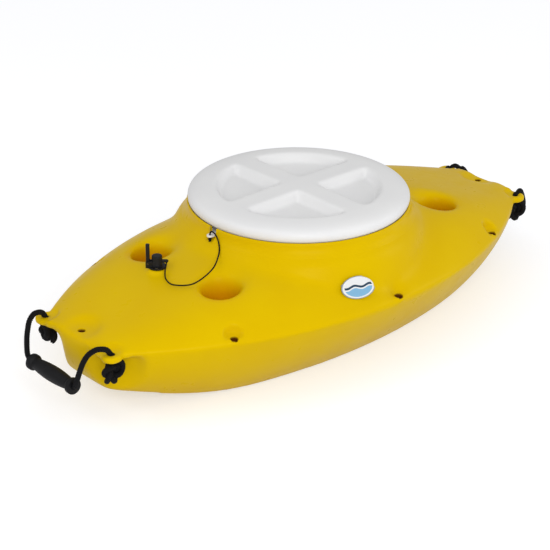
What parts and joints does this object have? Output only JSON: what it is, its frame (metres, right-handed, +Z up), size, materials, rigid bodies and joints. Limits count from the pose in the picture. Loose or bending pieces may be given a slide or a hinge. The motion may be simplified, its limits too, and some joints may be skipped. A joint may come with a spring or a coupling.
{
  "type": "floating kayak-shaped cooler",
  "caption": "Yellow kayak-shaped floating cooler with a round turn-lock lid, cup holders, rope handles and tie-down sockets.",
  "frame": {"origin": "on the floor under the middle of the hull", "axes": "+X to the stern, +Y to port, +Z up"},
  "size_m": [1.36, 0.644, 0.324],
  "materials": {
    "hull_plastic": "satin",
    "tub_plastic": "satin",
    "lid_plastic": "satin",
    "foam": "matte",
    "seal_rubber": "matte",
    "grip_rubber": "matte",
    "rope": "matte",
    "cord": "matte",
    "black_plastic": "matte",
    "steel": "brushed",
    "badge_film": "gloss"
  },
  "bodies": {
    "hull": {"hull_shell": "hull_plastic", "cooler_liner": "tub_plastic", "foam_jacket": "foam", "anchor_base": "black_plastic", "anchor_pin": "steel", "anchor_screws": "steel", "bow_rope_ends": "rope", "stern_rope_ends": "rope", "leash_cord": "cord", "badge": "badge_film"},
    "lid_ring": {"leash_ring": "lid_plastic", "leash_knot": "cord"},
    "lid": {"lid_top": "lid_plastic", "lid_base": "lid_plastic", "lid_foam": "foam", "lid_gasket": "seal_rubber"},
    "bow_handle": {"bow_rope_loop": "rope"},
    "bow_grip_body": {"bow_grip": "grip_rubber"},
    "stern_handle": {"stern_rope_loop": "rope"},
    "stern_grip_body": {"stern_grip": "grip_rubber"},
    "anchor_lever_body": {"anchor_lever": "black_plastic"}
  },
  "joints": [
    {"name": "lid_lift", "type": "slide", "parent": "hull", "child": "lid_ring", "axis": [0, 0, 1], "range_m": [0, 0.11]},
    {"name": "lid_turn", "type": "hinge", "parent": "lid_ring", "child": "lid", "pos_m": [0, 0, 0.28], "axis": [0, 0, 1], "range_deg": [0, 40]},
    {"name": "bow_handle_swing", "type": "hinge", "parent": "hull", "child": "bow_handle", "pos_m": [-0.598, 0, 0.17], "axis": [0, 1, 0], "range_deg": [-15, 90]},
    {"name": "bow_grip_spin", "type": "hinge", "parent": "bow_handle", "child": "bow_grip_body", "pos_m": [-0.663, 0, 0.096], "axis": [0, 1, 0], "continuous": true},
    {"name": "stern_handle_swing", "type": "hinge", "parent": "hull", "child": "stern_handle", "pos_m": [0.598, 0, 0.17], "axis": [0, -1, 0], "range_deg": [-15, 90]},
    {"name": "stern_grip_spin", "type": "hinge", "parent": "stern_handle", "child": "stern_grip_body", "pos_m": [0.663, 0, 0.096], "axis": [0, 1, 0], "continuous": true},
    {"name": "anchor_lever_swing", "type": "hinge", "parent": "hull", "child": "anchor_lever_body", "pos_m": [-0.3809, 0.04696, 0.2355], "axis": [-0.682, -0.7314, 0], "range_deg": [0, 90]}
  ]
}
